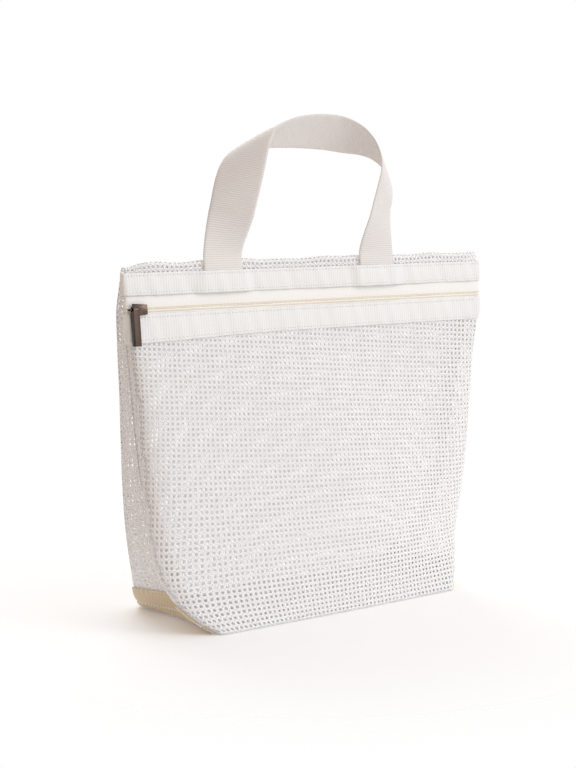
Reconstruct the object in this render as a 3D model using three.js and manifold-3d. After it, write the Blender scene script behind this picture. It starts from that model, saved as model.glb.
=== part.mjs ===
import * as THREE from "three";
import { mergeVertices } from "three/addons/utils/BufferGeometryUtils.js";
import Module from "manifold-3d";

// A white net bag with a boxed base, a zip between two woven ribbons and one webbing handle.
// Millimetres, +Z up. The front faces -Y, X runs across, and the origin is the middle of the base
// on the floor.

const wasm = await Module();
wasm.setup();

// Bag body
const bagHeight = 240;
const topWidth = 314;
const topDepth = 9;
const baseWidth = 204;
const baseDepth = 104;
const sideTaper = 45; // depth that the side walls lose steadily from base to top
const flareHeight = 26; // height over which the boxed base draws in
const topLean = 9; // how far the soft top stands to the right of the base
const sidePinch = 11; // how far the side seams fold inwards
const pinchHeight = 25; // height of the deepest fold
const netThickness = 1;
const netColumns = 12; // openings across the front and back panels
const frontRows = 8; // openings up the front panel
const backRows = 10; // openings up the back panel
const netOpen = 0.56; // share of each step from strand to strand that is open
const rowGrowth = 1.25; // power by which the rows of openings grow towards the top
const seamGap = 0.3; // between pieces that are sewn together

// Zip and ribbons
const ribbonWidth = 15.2;
const ribbonThickness = 0.8;
const tapeShow = 7; // zip tape in sight between the upper ribbon and the chain
const tapeSewn = 6; // zip tape hidden under each ribbon
const tapeThickness = 0.6;
const chainGap = 1.1; // between the two beads of the closed zip
const beadHeight = 1.7; // along the front
const beadDepth = 2.4; // front to back
const lowerRibbonGap = 0.6; // between the chain and the lower ribbon
const coilDepth = 1.3;

// Slider and pull tab
const sliderLength = 11;
const sliderWidth = 8;
const sliderTail = 6.4; // width at the narrow end
const plateThickness = 0.9;
const plateGap = 0.5; // between the front plate and the lower ribbon
const postLength = 2.6;
const bailRadius = 0.65;
const bailSpan = 5.6; // clear length under the bail
const bailOverhang = 4; // of the bail beyond the slider's mouth
const tabWidth = 4.6;
const tabDepth = 4.1;
const tabLength = 23.5; // from the bail to the tip
const tabPlay = 0.5; // between the bail and the eye
const runningGap = 0.35; // between the slider, its tab and what they pass

// Handle webbing
const strapWidth = 31;
const strapThickness = 1.4;
const legSpacing = 134; // centre to centre
const handleShift = 2.6; // of the handle, to the left of the base's middle
const hingeRise = 7.5; // of the bending line above the upper ribbon
const hingeGap = 1.5; // from the bending line down to the sewn end
const strapSewn = 13; // length of each end under the ribbon
const archRise = 86.8; // of the arch's centre line above the bag
const archForward = 12.5; // of the arch's centre line in front of the bag's middle
const archTilt = THREE.MathUtils.degToRad(44.5); // of the arch's width, from upright towards the front
const archHalf = 29.3; // from the middle to each oblique bend, along the centre line
const bendAxis = THREE.MathUtils.degToRad(47.3); // of the bend, from the arch's run towards its width
const bendAngle = THREE.MathUtils.degToRad(148);
const bendRadius = 17.7;
const ribbonRamp = 3; // length over which the ribbon steps up on to the strap
const rampEase = 0.6; // between the strap's edge and the step

// Binding tape
const bindingThickness = 0.8;
const sideBindingWidth = 8;
const sideBindingFoot = 10; // height of its lower end
const cornerBindingWidth = 12;
const cornerBindingFoot = 7;
const bindingReach = 0.94; // share of the side wall that the corner tape covers

// Heights of the pieces on the front
const foldHeight = bagHeight - topDepth / 2;
const chainWidth = chainGap + 2 * beadHeight;
const upperRibbonFoot = foldHeight - ribbonWidth;
const chainHeight = upperRibbonFoot - tapeShow - chainWidth / 2;
const lowerRibbonTop = chainHeight - chainWidth / 2 - lowerRibbonGap;
const lowerRibbonFoot = lowerRibbonTop - ribbonWidth;
const wallFoot = 1.5 * netThickness + seamGap;

// Depth, width and sideways shift of the bag at a height
const flareDepth = baseDepth - topDepth - sideTaper;

function depthAt(z) {
  return topDepth + sideTaper * (1 - z / bagHeight) + flareDepth * Math.exp(-z / flareHeight);
}

function widthAt(z) {
  return topWidth - ((topWidth - baseWidth) * (depthAt(z) - topDepth)) / (baseDepth - topDepth);
}

function middleAt(z) {
  return (topLean * z) / bagHeight;
}

// The panels run straight from the base to the ribbons, while the corners draw in with the base.
function bulgeAt(z) {
  return Math.max(0, (flareDepth / 2) * (1 - z / lowerRibbonFoot - Math.exp(-z / flareHeight)));
}

function pinchAt(z) {
  return sidePinch * (z / pinchHeight) * Math.exp(1 - z / pinchHeight);
}

// Points of the net's middle surface. across runs from -1 to 1.
function wallPoint(facing, across, z) {
  const x = middleAt(z) + (across * widthAt(z)) / 2;
  const y = depthAt(z) / 2 + bulgeAt(z) * (1 - across * across);
  return new THREE.Vector3(x, facing * y, z);
}

function sidePoint(side, across, z, edge) {
  const x = middleAt(z) + side * (widthAt(z) / 2 - pinchAt(z) * (1 - Math.abs(across)));
  return new THREE.Vector3(x, across * (depthAt(z) / 2 - edge), z);
}

// Evenly spaced values, crowded towards the first when power is above 1
function steps(from, to, count, power = 1) {
  return Array.from({ length: count + 1 }, (_, i) => from + (to - from) * (i / count) ** power);
}

// A closed solid between two grids of points with the same rows and columns, less its open cells
function solidBetween(outer, inner, isOpen = () => false) {
  const rows = outer.length - 1;
  const columns = outer[0].length - 1;
  const points = [...outer.flat(), ...inner.flat()];
  const back = (rows + 1) * (columns + 1);
  const isFilled = (r, c) => r >= 0 && r < rows && c >= 0 && c < columns && !isOpen(r, c);
  const faces = [];
  const quad = (a, b, c, d) => faces.push(a, b, c, a, c, d);
  for (let r = 0; r < rows; r++) {
    for (let c = 0; c < columns; c++) {
      if (!isFilled(r, c)) continue;
      const low = r * (columns + 1) + c;
      const high = low + columns + 1;
      quad(low, low + 1, high + 1, high);
      quad(back + low, back + high, back + high + 1, back + low + 1);
      if (!isFilled(r - 1, c)) quad(low, back + low, back + low + 1, low + 1);
      if (!isFilled(r + 1, c)) quad(high, high + 1, back + high + 1, back + high);
      if (!isFilled(r, c - 1)) quad(low, high, back + high, back + low);
      if (!isFilled(r, c + 1)) quad(low + 1, back + low + 1, back + high + 1, high + 1);
    }
  }
  let volume = 0;
  for (let i = 0; i < faces.length; i += 3) {
    const [a, b, c] = faces.slice(i, i + 3).map((k) => points[k]);
    volume += a.dot(b.clone().cross(c));
  }
  if (volume < 0) faces.reverse();
  const geometry = new THREE.BufferGeometry().setFromPoints(points);
  geometry.setIndex(faces);
  geometry.computeVertexNormals();
  return geometry;
}

// A sheet of even thickness over a surface, lifted off it by a distance along its normal
function sheet(surface, us, vs, thickness, lift = 0, isOpen = undefined) {
  const near = 1e-3;
  const layer = (distance) =>
    vs.map((v) =>
      us.map((u) => {
        const alongU = surface(u + near, v).sub(surface(u - near, v));
        const alongV = surface(u, v + near).sub(surface(u, v - near));
        const normal = alongU.cross(alongV).normalize();
        return surface(u, v).addScaledVector(normal, distance);
      }),
    );
  return solidBetween(layer(lift + thickness / 2), layer(lift - thickness / 2), isOpen);
}

// Solids joined into one
function join(...geometries) {
  const solids = geometries.map((geometry) => {
    const bare = geometry.clone();
    bare.deleteAttribute("normal");
    bare.deleteAttribute("uv");
    const merged = mergeVertices(bare, 1e-4);
    const vertProperties = new Float32Array(merged.getAttribute("position").array);
    const triVerts = new Uint32Array(merged.index.array);
    return new wasm.Manifold(new wasm.Mesh({ numProp: 3, vertProperties, triVerts }));
  });
  const whole = solids.reduce((a, b) => a.add(b)).getMesh();
  const geometry = new THREE.BufferGeometry();
  geometry.setAttribute("position", new THREE.BufferAttribute(whole.vertProperties, 3));
  geometry.setIndex(new THREE.BufferAttribute(whole.triVerts, 1));
  geometry.computeVertexNormals();
  return geometry;
}

// A box between two corners
function block(low, high) {
  const size = high.map((value, i) => value - low[i]);
  const middle = high.map((value, i) => (value + low[i]) / 2);
  return new THREE.BoxGeometry(...size).translate(...middle);
}

// An outline in (y, z) drawn out along X, centred on x
function alongX(shape, length, x) {
  const options = { depth: length, bevelEnabled: false, curveSegments: 8 };
  const turn = new THREE.Matrix4().set(0, 0, 1, x - length / 2, 1, 0, 0, 0, 0, 1, 0, 0, 0, 0, 0, 1);
  return new THREE.ExtrudeGeometry(shape, options).applyMatrix4(turn);
}

// Finishes
const finish = (color, roughness, metalness = 0) => () =>
  new THREE.MeshStandardMaterial({ color, roughness, metalness });
const netFinish = finish(0xece6e3, 0.6);
const ribbonFinish = finish(0xefece2, 0.75);
const zipFinish = finish(0xece3c4, 0.65);
const coilFinish = finish(0xe8dfc0, 0.4);
const metalFinish = finish(0x3a322f, 0.3, 1);
const strapFinish = finish(0xe9e5df, 0.7);
const bindingFinish = finish(0xd8c9ab, 0.75);

const bag = new THREE.Group();

function add(parent, name, geometry, material) {
  const mesh = new THREE.Mesh(geometry, material());
  mesh.name = name;
  parent.add(mesh);
}

// Values from one end to the other, with two for each opening between strands: where it starts and
// where it ends
function strandSteps(from, to, count, power = 1) {
  const at = (step) => from + (to - from) * (step / count) ** power;
  const strand = (1 - netOpen) / 2;
  const openings = Array.from({ length: count }, (_, i) => [at(i + strand), at(i + 1 - strand)]);
  return [from, ...openings.flat(), to];
}

// Net panels, each a plain grid of openings between strands. The front one ends under the lower
// ribbon, the back one at the fold along the top.
const netStations = strandSteps(-1, 1, netColumns);
const frontTop = lowerRibbonTop - seamGap;
const backTop = foldHeight - seamGap;
const frontLevels = [...strandSteps(wallFoot, lowerRibbonFoot, frontRows, rowGrowth), frontTop];
const backLevels = strandSteps(wallFoot, backTop, backRows, rowGrowth);
function netPanel(facing, levels, rows) {
  const surface = (u, z) => wallPoint(facing, u, z);
  const isOpen = (r, c) => r % 2 === 1 && c % 2 === 1 && r < 2 * rows;
  return sheet(surface, netStations, levels, netThickness, 0, isOpen);
}
add(bag, "mesh_front_panel", netPanel(-1, frontLevels, frontRows), netFinish);
add(bag, "mesh_back_panel", netPanel(1, backLevels, backRows), netFinish);

const basePanel = block([-baseWidth / 2, -baseDepth / 2, 0], [baseWidth / 2, baseDepth / 2, netThickness]);
add(bag, "mesh_base_panel", basePanel, netFinish);

// Each side wall folds inwards along its seam, halfway between front and back.
const sideEdge = netThickness + seamGap;
const bindingHead = cornerBindingFoot + cornerBindingWidth;
const bindingLevels = steps(cornerBindingFoot, bindingHead, 4);
const upperLevels = steps(bindingHead, lowerRibbonFoot, 9, 1.3).slice(1);
const sideLevels = [wallFoot, ...bindingLevels, ...upperLevels, backTop];
const foldStations = [-1, -0.5, 0, 0.5, 1];
const sideNames = { left: -1, right: 1 };
for (const [name, side] of Object.entries(sideNames)) {
  const surface = (k, z) => sidePoint(side, k, z, sideEdge);
  add(bag, "mesh_side_" + name, sheet(surface, foldStations, sideLevels, netThickness), netFinish);
}

// The back panel's cloth goes on over the top and down the front as far as the zip.
function topPoint(u, turn) {
  const angle = THREE.MathUtils.clamp(turn, 0, Math.PI);
  const z = foldHeight + (bagHeight - foldHeight) * Math.sin(angle) + Math.min(0, turn);
  const ring = Math.min(z, foldHeight);
  const y = -(depthAt(ring) / 2) * Math.cos(angle);
  return new THREE.Vector3(middleAt(z) + (u * widthAt(z)) / 2, y, z);
}
const stripFoot = upperRibbonFoot + seamGap - foldHeight;
const topTurns = [stripFoot, ...steps(0, Math.PI, 6)];
const acrossStations = steps(-1, 1, 12);
add(bag, "mesh_top_band", sheet(topPoint, acrossStations, topTurns, netThickness), netFinish);

// Ribbons lie on the front and turn round its corners to the side seams. The upper one steps up
// over the ends of the handle.
const ribbonLift = netThickness / 2 + seamGap;
const strapLift = strapThickness + seamGap;
const legCentres = [-1, 1].map((side) => (side * legSpacing) / 2 - handleShift);

function ribbon(foot, head, overStrap) {
  const half = strapWidth / 2 + rampEase;
  const bumps = legCentres.flatMap((x) => [
    [x - half - ribbonRamp, 0],
    [x - half, strapLift],
    [x + half, strapLift],
    [x + half + ribbonRamp, 0],
  ]);
  const layer = (lift) =>
    [foot, head].map((z) => {
      const left = middleAt(z) - widthAt(z) / 2 - lift;
      const right = middleAt(z) + widthAt(z) / 2 + lift;
      const front = -depthAt(z) / 2 - lift;
      const seam = -seamGap;
      const line = [[left, seam], [left, front]];
      if (overStrap) line.push(...bumps.map(([x, rise]) => [x, front - rise]));
      line.push([right, front], [right, seam]);
      return line.map(([x, y]) => new THREE.Vector3(x, y, z));
    });
  return solidBetween(layer(ribbonLift + ribbonThickness), layer(ribbonLift));
}
add(bag, "ribbon_upper", ribbon(upperRibbonFoot, foldHeight, true), ribbonFinish);
add(bag, "ribbon_lower", ribbon(lowerRibbonFoot, lowerRibbonTop, false), ribbonFinish);

// The zip lies in the sloping front. Its own frame has X along the chain, Y into the bag and Z up
// the slope, with the origin in the middle of the chain.
const frontRun = (depthAt(lowerRibbonFoot) - depthAt(foldHeight)) / 2;
const frontSlope = Math.atan2(frontRun, foldHeight - lowerRibbonFoot);
const zip = new THREE.Group();
zip.position.set(middleAt(chainHeight), -depthAt(chainHeight) / 2, chainHeight);
zip.rotation.x = -frontSlope;
bag.add(zip);

// Half the zip: a flat tape whose edge is folded over into a round bead
const tapeFront = netThickness / 2 + seamGap;
const tapeBack = tapeFront + tapeThickness;
const beadCentre = chainGap / 2 + beadHeight / 2;
const tapeFoot = lowerRibbonTop - tapeSewn;
const wallReach = (side) => side * (sidePoint(side, 0, tapeFoot, sideEdge).x - zip.position.x);
const zipLength = 2 * (Math.min(wallReach(-1), wallReach(1)) - netThickness - seamGap);

function zipTape(up, reach) {
  const outline = new THREE.Shape();
  const middle = tapeBack - beadDepth / 2;
  const first = Math.acos((tapeFront - middle) / (beadDepth / 2));
  for (const turn of steps(first, 2 * Math.PI, 10)) {
    const y = middle + (beadDepth / 2) * Math.cos(turn);
    const z = beadCentre + (beadHeight / 2) * Math.sin(turn);
    if (turn === first) outline.moveTo(y, up * z);
    else outline.lineTo(y, up * z);
  }
  outline.lineTo(tapeBack, up * reach);
  outline.lineTo(tapeFront, up * reach);
  return alongX(outline, zipLength, 0);
}
const upperReach = chainWidth / 2 + tapeShow + tapeSewn;
const lowerReach = chainWidth / 2 + lowerRibbonGap + tapeSewn;
add(zip, "zip_tape_upper", zipTape(1, upperReach), zipFinish);
add(zip, "zip_tape_lower", zipTape(-1, lowerReach), zipFinish);

const coilFront = tapeBack + seamGap;
const coilBack = coilFront + coilDepth;
for (const [name, up] of [["upper", 1], ["lower", -1]]) {
  const near = up * (chainGap / 2);
  const far = up * (chainGap / 2 + beadHeight);
  const low = [-zipLength / 2, coilFront, Math.min(near, far)];
  const high = [zipLength / 2, coilBack, Math.max(near, far)];
  add(zip, "zip_coil_" + name, block(low, high), coilFinish);
}

// Slider: two plates held by a post that runs between the beads, and a bail on the front plate.
// It stands at the closed end, on the left, with its wide mouth outwards.
const plateBack = -(ribbonLift + ribbonThickness + plateGap);
const plateFront = plateBack - plateThickness;
const rearFront = coilBack + runningGap;
const bailCentre = plateFront - runningGap - tabDepth / 2;
const sliderPlace = -zipLength / 2 + runningGap + sliderLength / 2;

function plate(front) {
  const half = sliderLength / 2;
  const outline = new THREE.Shape();
  outline.moveTo(-half, -sliderWidth / 2);
  outline.lineTo(half, -sliderTail / 2);
  outline.lineTo(half, sliderTail / 2);
  outline.lineTo(-half, sliderWidth / 2);
  const flat = new THREE.ExtrudeGeometry(outline, { depth: plateThickness, bevelEnabled: false });
  return flat.rotateX(Math.PI / 2).translate(0, front + plateThickness, 0);
}
const mouth = -sliderLength / 2;
const postHalf = chainGap / 2 - seamGap;
const postStart = mouth + runningGap;
const postEnd = postStart + postLength;
const post = block([postStart, plateFront, -postHalf], [postEnd, rearFront + plateThickness, postHalf]);
const bailWall = 2 * bailRadius;
const bailStart = mouth - bailOverhang;
const bailEnd = bailStart + 2 * bailWall + bailSpan;
const bailBar = new THREE.CylinderGeometry(bailRadius, bailRadius, bailEnd - bailStart, 10)
  .rotateZ(Math.PI / 2)
  .translate((bailStart + bailEnd) / 2, bailCentre, 0);
const bailLeg = (x) =>
  block([x, bailCentre, -bailRadius], [x + bailWall, plateFront + plateThickness / 2, bailRadius]);
const slider = new THREE.Group();
slider.position.x = sliderPlace;
zip.add(slider);
const plates = [plate(plateFront), plate(rearFront)];
const bailLegs = [bailLeg(bailStart), bailLeg(bailEnd - bailWall)];
add(slider, "zip_slider", join(...plates, post, bailBar, ...bailLegs), metalFinish);

// Pull tab: a square bar whose rounded eye hangs on the left end of the bail
const tabOutline = new THREE.Shape();
const tabHalf = tabDepth / 2;
tabOutline.moveTo(-tabHalf, -tabLength);
tabOutline.lineTo(tabHalf, -tabLength);
tabOutline.lineTo(tabHalf, 0);
tabOutline.absarc(0, 0, tabHalf, 0, Math.PI, false);
const eye = new THREE.Path();
eye.absarc(0, 0, bailRadius + tabPlay, 0, 2 * Math.PI, true);
tabOutline.holes.push(eye);
const tabPlace = bailStart + bailWall + runningGap + tabWidth / 2;
const tab = new THREE.Group();
tab.position.set(tabPlace, bailCentre, 0);
slider.add(tab);
add(tab, "zip_pull_tab", alongX(tabOutline, tabWidth, 0), metalFinish);

// Handle ends, sewn flat between the net and the upper ribbon
const strapFront = ribbonLift + strapThickness;
const strapMiddle = ribbonLift + strapThickness / 2;
const slopeUp = new THREE.Vector3(0, Math.sin(frontSlope), Math.cos(frontSlope));
const slopeOut = new THREE.Vector3(0, -Math.cos(frontSlope), Math.sin(frontSlope));
const hingeUp = (foldHeight - chainHeight) / Math.cos(frontSlope) + hingeRise;
const endTop = hingeUp - hingeGap;
const endFoot = hingeUp - hingeRise - strapSewn;
for (const [name, side] of Object.entries(sideNames)) {
  const x = (side * legSpacing) / 2 - handleShift - zip.position.x;
  const low = [x - strapWidth / 2, -strapFront, endFoot];
  const high = [x + strapWidth / 2, -ribbonLift, endTop];
  add(zip, "handle_end_" + name, block(low, high), strapFinish);
}

// Handle: one strap that rises from the left foot, turns over an oblique bend into the arch and
// comes down the same way on the right. along is measured from the middle of the arch and t across
// the strap, positive towards the edge that is on top in the arch and inside in the legs.
const hinge = zip.position.clone().addScaledVector(slopeUp, hingeUp);
hinge.addScaledVector(slopeOut, strapMiddle);
const archCentre = new THREE.Vector3(0, -archForward, bagHeight + archRise);
const archOut = new THREE.Vector3(-1, 0, 0);
const archAcross = new THREE.Vector3(0, -Math.sin(archTilt), Math.cos(archTilt));
const archInside = new THREE.Vector3(0, -Math.cos(archTilt), -Math.sin(archTilt));
const bendLine = archOut.clone().multiplyScalar(-Math.cos(bendAxis));
bendLine.addScaledVector(archAcross, Math.sin(bendAxis));
const bendOut = archOut.clone().multiplyScalar(Math.sin(bendAxis));
bendOut.addScaledVector(archAcross, Math.cos(bendAxis));
const bendStart = archCentre.clone().addScaledVector(archOut, archHalf);
const bendReach = (strapWidth / 2) * (Math.cos(bendAxis) / Math.sin(bendAxis));
const legStart = archHalf + (bendRadius * bendAngle) / Math.sin(bendAxis) + bendReach;

function bendPoint(along, t) {
  const past = along - archHalf;
  const lineward = t * Math.sin(bendAxis) - past * Math.cos(bendAxis);
  const outward = t * Math.cos(bendAxis) + past * Math.sin(bendAxis);
  const turn = THREE.MathUtils.clamp(outward / bendRadius, 0, bendAngle);
  const rest = outward - turn * bendRadius;
  const flat = bendRadius * Math.sin(turn) + rest * Math.cos(turn);
  const inside = bendRadius * (1 - Math.cos(turn)) + rest * Math.sin(turn);
  return bendStart
    .clone()
    .addScaledVector(bendLine, lineward)
    .addScaledVector(bendOut, flat)
    .addScaledVector(archInside, inside);
}

const legTop = bendPoint(legStart, 0);
const legDown = bendPoint(legStart + 1, 0).sub(legTop);
const footCentre = new THREE.Vector3(-legSpacing / 2, hinge.y, hinge.z);
const legLength = legTop.distanceTo(footCentre);
const handleHalf = legStart + legLength;

function strapPoint(along, t) {
  if (along <= legStart) return bendPoint(along, t);
  const top = bendPoint(legStart, t);
  const foot = footCentre.clone().add(new THREE.Vector3(t, 0, 0));
  const reach = legLength / 3;
  const nearTop = top.clone().addScaledVector(legDown, reach);
  const nearFoot = foot.clone().addScaledVector(slopeUp, reach);
  const leg = new THREE.CubicBezierCurve3(top, nearTop, nearFoot, foot);
  return leg.getPoint(Math.min(1, (along - legStart) / legLength));
}

const halfStations = [
  ...steps(archHalf - bendReach, legStart, 16),
  ...steps(legStart, handleHalf, 5).slice(1),
];
const strapStations = [...halfStations.map((along) => -along).reverse(), ...halfStations];
const strapAcross = steps(-strapWidth / 2, strapWidth / 2, 6);

function strapSide(along, t) {
  const point = strapPoint(Math.abs(along), t);
  if (along > 0) point.x = -point.x;
  point.x -= handleShift;
  return point;
}

// Each foot ends in a round nose on the bending line.
const noseTurns = [Math.PI / 5, (2 * Math.PI) / 5];

function strap() {
  const near = 1e-3;
  const nose = strapThickness / 2;
  const limit = handleHalf - 2 * near;
  const row = (along, lift, beyond) =>
    strapAcross.map((t) => {
      const at = THREE.MathUtils.clamp(along, -limit, limit);
      const ahead = strapSide(at + near, t).sub(strapSide(at - near, t)).normalize();
      const sideways = strapSide(at, t + near).sub(strapSide(at, t - near)).normalize();
      const normal = ahead.clone().cross(sideways).normalize();
      return strapSide(at, t).addScaledVector(normal, lift).addScaledVector(ahead, beyond);
    });
  const round = (end, turn, sign) =>
    row(end * handleHalf, sign * nose * Math.cos(turn), end * nose * Math.sin(turn));
  const layer = (sign) => [
    ...[...noseTurns].reverse().map((turn) => round(-1, turn, sign)),
    ...strapStations.map((along) => row(along, sign * nose, 0)),
    ...noseTurns.map((turn) => round(1, turn, sign)),
  ];
  return solidBetween(layer(1), layer(-1));
}
add(bag, "handle_strap", strap(), strapFinish);

// Binding on the side seams stands inside the bag.
for (const [name, side] of Object.entries(sideNames)) {
  const levels = steps(sideBindingFoot, lowerRibbonFoot - seamGap, 10, 1.4);
  const layer = (y) =>
    levels.map((z) => {
      const seam = sidePoint(side, 0, z, sideEdge).x - side * (netThickness + seamGap);
      return [seam, seam - side * sideBindingWidth].map((x) => new THREE.Vector3(x, y, z));
    });
  const fin = solidBetween(layer(-bindingThickness), layer(bindingThickness));
  add(bag, "side_binding_" + name, fin, bindingFinish);
}

// Binding on the boxed corners lies outside, low on each side wall.
const bindingStations = [-bindingReach, -0.5, 0, 0.5, bindingReach];
const bindingLift = netThickness / 2 + seamGap + bindingThickness / 2;
for (const [name, side] of Object.entries(sideNames)) {
  const surface = (k, z) => sidePoint(side, k, z, sideEdge);
  const tape = sheet(surface, bindingStations, bindingLevels, bindingThickness, side * bindingLift);
  add(bag, "corner_binding_" + name, tape, bindingFinish);
}

export default bag;
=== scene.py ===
import math

import bpy
import numpy as np
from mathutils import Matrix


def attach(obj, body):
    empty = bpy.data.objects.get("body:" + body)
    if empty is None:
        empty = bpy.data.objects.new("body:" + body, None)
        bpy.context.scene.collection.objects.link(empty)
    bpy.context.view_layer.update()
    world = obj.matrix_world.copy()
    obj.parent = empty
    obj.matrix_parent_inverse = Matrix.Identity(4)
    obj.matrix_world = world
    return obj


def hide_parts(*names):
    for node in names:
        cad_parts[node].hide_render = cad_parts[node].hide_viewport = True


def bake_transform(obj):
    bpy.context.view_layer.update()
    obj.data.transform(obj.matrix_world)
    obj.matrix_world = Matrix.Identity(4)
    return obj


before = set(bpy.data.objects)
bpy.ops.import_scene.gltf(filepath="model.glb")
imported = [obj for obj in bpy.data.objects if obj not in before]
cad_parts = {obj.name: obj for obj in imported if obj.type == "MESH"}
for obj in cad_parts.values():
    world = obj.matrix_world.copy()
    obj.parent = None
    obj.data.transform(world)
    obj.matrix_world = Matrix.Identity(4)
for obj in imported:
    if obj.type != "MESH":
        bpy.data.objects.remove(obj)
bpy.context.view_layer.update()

# Net body. The bag is cut from white coated net: a boxed base 204 by 104 mm that draws in to a flat top
# 314 mm wide. The cloth is slack, so its corners are round folds, the side seams tuck inwards, and the
# lower left of the front hangs out over the side wall. All lengths here are in millimetres.
HEIGHT = 240.0
TOP_WIDTH = 314.0
TOP_DEPTH = 9.0
BASE_WIDTH = 204.0
BASE_DEPTH = 104.0
SIDE_TAPER = 45.0
FLARE_DEPTH = BASE_DEPTH - TOP_DEPTH - SIDE_TAPER
FLARE_HEIGHT = 26.0
TOP_LEAN = 9.0
FOLD = HEIGHT - TOP_DEPTH / 2
RIBBON_WIDTH = 15.2
UPPER_FOOT = FOLD - RIBBON_WIDTH
CHAIN_BELOW_UPPER = 9.25
CHAIN_ABOVE_LOWER = 2.85
CHAIN = UPPER_FOOT - CHAIN_BELOW_UPPER
LOWER_TOP = CHAIN - CHAIN_ABOVE_LOWER
LOWER_FOOT = LOWER_TOP - RIBBON_WIDTH
CORNER_SOFT = 1.4
LEFT_HANG = 11.0
LEFT_LEAN = 4.5
RIGHT_STAND = 4.2
TURN_BACK = (7.0, -6.5)
SAMPLES = 321


def smooth_step(x, low, high):
    """A soft rise from 0 to 1 between two values."""
    t = np.clip((x - low) / (high - low), 0, 1)
    return t * t * (3 - 2 * t)


def hump(z, height, at):
    """A rise that is nothing at the floor, highest at a height, and fades above it."""
    return height * (z / at) * np.exp(1 - z / at)


def depth_at(z):
    return TOP_DEPTH + SIDE_TAPER * (1 - z / HEIGHT) + FLARE_DEPTH * np.exp(-z / FLARE_HEIGHT)


def width_at(z):
    return TOP_WIDTH - (TOP_WIDTH - BASE_WIDTH) * (depth_at(z) - TOP_DEPTH) / (BASE_DEPTH - TOP_DEPTH)


def lean_at(z):
    """How far the bag leans to the right."""
    return TOP_LEAN * z / HEIGHT


def bulge_at(z):
    """How far the middle of the front and back stands out past their ends."""
    return max(0.0, FLARE_DEPTH / 2 * (1 - z / LOWER_FOOT - math.exp(-z / FLARE_HEIGHT)))


def tuck_at(z):
    """How far the side seams are folded inwards."""
    return hump(z, 11.0, 25.0) + hump(z, 3.5, 110.0)


def eased(line, soft):
    """A line of even steps with its corners rounded over a number of steps."""
    reach = int(3 * soft) + 1
    kernel = np.exp(-0.5 * (np.arange(-reach, reach + 1) / soft) ** 2)
    kernel /= kernel.sum()
    padded = np.pad(line, ((reach, reach), (0, 0)), mode="reflect", reflect_type="odd")
    return np.stack([np.convolve(padded[:, i], kernel, "valid") for i in range(2)], 1)


def lengths_along(line):
    """How far along a line each of its points is."""
    return np.r_[0, np.cumsum(np.linalg.norm(np.diff(line, axis=0), axis=1))]


def points_at(at, run, line):
    """Points at some lengths along a line, by straight steps."""
    return np.stack([np.interp(at, run, line[:, i]) for i in range(line.shape[1])], 1)


def section(z, facing):
    """The outline at a height, from the left seam round the front (-1) or back (1) to the right seam."""
    half_w, half_d = width_at(z) / 2, depth_at(z) / 2
    u = np.linspace(-1, 1, 201)
    k = np.linspace(0, 1, 40)[:-1]
    side = np.stack([-half_w + tuck_at(z) * (1 - k), k * half_d], 1)
    face = np.stack([u * half_w, half_d + bulge_at(z) * (1 - u * u)], 1)
    line = np.concatenate([side, face, side[::-1] * (-1, 1)])
    run = lengths_along(line)
    along = np.linspace(0, run[-1], SAMPLES)
    line = points_at(along, run, line)
    # The corners are rounded most where the cloth is slack: low on the bag, and up the left of the front.
    soft = CORNER_SOFT + CORNER_SOFT * math.exp(-z / 15) + hump(z, 8.0, 36.0)
    slack = (8.0 if facing < 0 else 1.0) * smooth_step(z, 20, 90) * (1 - smooth_step(z, 150, 205))
    left = smooth_step(along / run[-1], 0.6, 0.4)[:, None]
    line = eased(line, (soft + slack) / along[1]) * left + eased(line, soft / along[1]) * (1 - left)
    # The left corner hangs out low on the front. The right end stands out at the zip and at the base, and
    # the left end of the top leans in.
    past = along - half_d
    fold = np.exp(-((past + 4) / np.where(past < -4, 11.0, 34.0)) ** 2) * smooth_step(along, 0, half_d * 0.7)
    line[:, 0] -= fold * hump(z, LEFT_HANG, 34.0) * (1.0 if facing < 0 else 0.35)
    outward = RIGHT_STAND * math.exp(-((z - 203) / 30) ** 2) + hump(z, 2.8, 30.0)
    line[:, 0] += outward * smooth_step(along, run[-1] - half_d - 40, run[-1] - half_d)
    # The right end of the front turns back from a soft crease, which is further in towards the base.
    if facing < 0:
        past = along - (run[-1] - half_d)
        crease = 26 - 14 * min(z / 190, 1)
        turned = np.where(past < 0, np.clip(1 + past / crease, 0, 1), np.clip(1 - past / half_d, 0, 1))
        turned = turned * smooth_step(z, 5, 40) * (1 - smooth_step(z, 150, 188))
        line += turned[:, None] * TURN_BACK
    inward = LEFT_LEAN * smooth_step(z, 205, HEIGHT)
    line[:, 0] += inward * (1 - smooth_step(along, 0, half_d if facing < 0 else half_d + 40))
    return np.stack([line[:, 0] + lean_at(z), facing * line[:, 1], np.full(SAMPLES, z)], 1)


def normals(grid):
    """Unit normals of a grid of points: its columns' direction crossed with its rows'."""
    n = np.cross(np.gradient(grid, axis=1), np.gradient(grid, axis=0))
    return n / np.maximum(np.linalg.norm(n, axis=2, keepdims=True), 1e-9)


def linear(hex_colour):
    """A six-figure sRGB colour as linear red, green, blue and alpha."""
    parts = [int(hex_colour[i:i + 2], 16) / 255 for i in (0, 2, 4)]
    return [c / 12.92 if c <= 0.04045 else ((c + 0.055) / 1.055) ** 2.4 for c in parts] + [1.0]


def node(tree, kind, settings=None, links=None):
    """Adds a shader node, sets its properties and sockets, and links sockets to other nodes' outputs."""
    made = tree.nodes.new(kind)
    for key, value in (settings or {}).items():
        if isinstance(key, str) and hasattr(made, key):
            setattr(made, key, value)
        else:
            made.inputs[key].default_value = value
    for key, (source, output) in (links or {}).items():
        tree.links.new(source.outputs[output], made.inputs[key])
    return made


def grain_scale(grain_mm):
    """The noise texture's scale that gives grains of a size, on coordinates in metres."""
    return 1 / (grain_mm * 0.001)


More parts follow.
